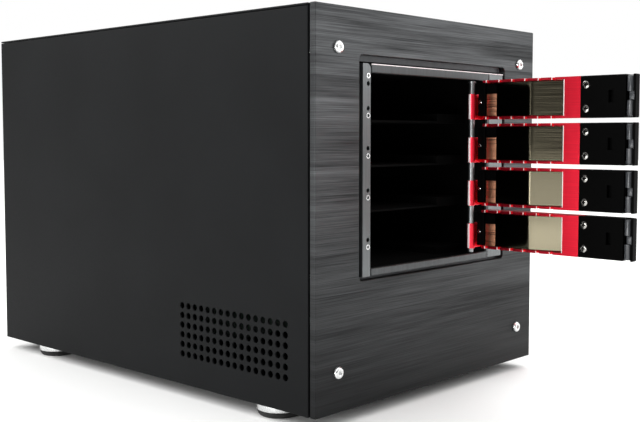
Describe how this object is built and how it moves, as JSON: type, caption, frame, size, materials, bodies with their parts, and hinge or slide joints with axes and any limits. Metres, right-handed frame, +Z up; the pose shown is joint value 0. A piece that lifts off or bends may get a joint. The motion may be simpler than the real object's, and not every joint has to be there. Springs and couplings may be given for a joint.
{
  "type": "network attached storage",
  "caption": "Desktop network storage box on feet, with a thick front panel and a cage of drive bays behind hinged doors, shown open.",
  "frame": {"origin": "middle of the footprint on the table, doors open", "axes": "+Z up, -Y towards the front, where the doors are, +X to the right seen from the front"},
  "size_m": [0.225, 0.4466, 0.2395],
  "materials": {
    "brushed_black": "black anodised, brushed along its width",
    "painted_black": "matte black powder coat",
    "dark_steel": "black coated sheet",
    "grey_metal": "grey satin",
    "bright_steel": "bright turned and pressed steel",
    "plain_steel": "plain steel",
    "red_anodised": "red anodised, satin",
    "black_plastic": "moulded, satin",
    "grey_plastic": "moulded, glossy",
    "rubber": "soft black rubber",
    "lens": "clear moulded light pipe",
    "circuit_board": "green laminate with soldered parts"
  },
  "bodies": {
    "case": {"front_panel": "brushed_black", "sub_front": "dark_steel", "side_panel_left": "painted_black", "side_panel_right": "painted_black", "top_panel": "painted_black", "base_tray": "dark_steel", "rear_panel": "dark_steel", "panel_screw_top_left": "bright_steel", "panel_screw_top_right": "bright_steel", "panel_screw_bottom_left": "bright_steel", "panel_screw_bottom_right": "bright_steel", "foot_shell_front_left": "bright_steel", "foot_pad_front_left": "rubber", "foot_shell_front_right": "bright_steel", "foot_pad_front_right": "rubber", "foot_shell_rear_left": "bright_steel", "foot_pad_rear_left": "rubber", "foot_shell_rear_right": "bright_steel", "foot_pad_rear_right": "rubber", "bezel_strip_left": "grey_metal", "bezel_bar_top": "grey_metal", "bezel_bar_bottom": "grey_metal", "bezel_column_right": "grey_metal", "light_pipe": "lens", "cage_side_left": "dark_steel", "cage_side_right": "dark_steel", "cage_top": "dark_steel", "cage_bottom": "dark_steel", "bay_divider_1": "dark_steel", "bay_divider_2": "dark_steel", "bay_divider_3": "dark_steel", "backplane": "circuit_board", "hinge_pin": "plain_steel", "motherboard": "circuit_board", "cpu_cooler": "plain_steel", "lan_ports": "plain_steel", "usb_ports": "plain_steel", "io_shield": "plain_steel", "slot_cover": "plain_steel", "power_supply": "dark_steel", "power_inlet": "black_plastic", "fan_frame": "black_plastic"},
    "door_1": {"door_1_channel": "red_anodised", "door_1_plate": "bright_steel", "door_1_end": "black_plastic"},
    "latch_1": {"door_1_latch": "grey_plastic"},
    "door_2": {"door_2_channel": "red_anodised", "door_2_plate": "bright_steel", "door_2_end": "black_plastic"},
    "latch_2": {"door_2_latch": "grey_plastic"},
    "door_3": {"door_3_channel": "red_anodised", "door_3_plate": "bright_steel", "door_3_end": "black_plastic"},
    "latch_3": {"door_3_latch": "grey_plastic"},
    "door_4": {"door_4_channel": "red_anodised", "door_4_plate": "bright_steel", "door_4_end": "black_plastic"},
    "latch_4": {"door_4_latch": "grey_plastic"},
    "rocker": {"power_rocker": "black_plastic"},
    "rotor": {"fan_rotor": "black_plastic"}
  },
  "joints": [
    {"name": "door_1_hinge", "type": "hinge", "parent": "case", "child": "door_1", "pos_m": [0.0408, -0.1107, 0.19015], "axis": [0, 0, 1], "range_deg": [-90, 0]},
    {"name": "latch_1_slide", "type": "slide", "parent": "door_1", "child": "latch_1", "axis": [1, 0, 0], "range_m": [0, 0.0015], "stiffness_N_per_m": 500},
    {"name": "door_2_hinge", "type": "hinge", "parent": "case", "child": "door_2", "pos_m": [0.0408, -0.1107, 0.1616], "axis": [0, 0, 1], "range_deg": [-90, 0]},
    {"name": "latch_2_slide", "type": "slide", "parent": "door_2", "child": "latch_2", "axis": [1, 0, 0], "range_m": [0, 0.0015], "stiffness_N_per_m": 500},
    {"name": "door_3_hinge", "type": "hinge", "parent": "case", "child": "door_3", "pos_m": [0.0408, -0.1107, 0.13305], "axis": [0, 0, 1], "range_deg": [-90, 0]},
    {"name": "latch_3_slide", "type": "slide", "parent": "door_3", "child": "latch_3", "axis": [1, 0, 0], "range_m": [0, 0.0015], "stiffness_N_per_m": 500},
    {"name": "door_4_hinge", "type": "hinge", "parent": "case", "child": "door_4", "pos_m": [0.0408, -0.1107, 0.1045], "axis": [0, 0, 1], "range_deg": [-90, 0]},
    {"name": "latch_4_slide", "type": "slide", "parent": "door_4", "child": "latch_4", "axis": [1, 0, 0], "range_m": [0, 0.0015], "stiffness_N_per_m": 500},
    {"name": "rocker_tip", "type": "hinge", "parent": "case", "child": "rocker", "pos_m": [-0.053, 0.2153, 0.177], "axis": [1, 0, 0], "range_deg": [0, 14]},
    {"name": "fan_spin", "type": "hinge", "parent": "case", "child": "rotor", "pos_m": [0.064, 0.2078, 0.186], "axis": [0, 1, 0], "continuous": true}
  ]
}
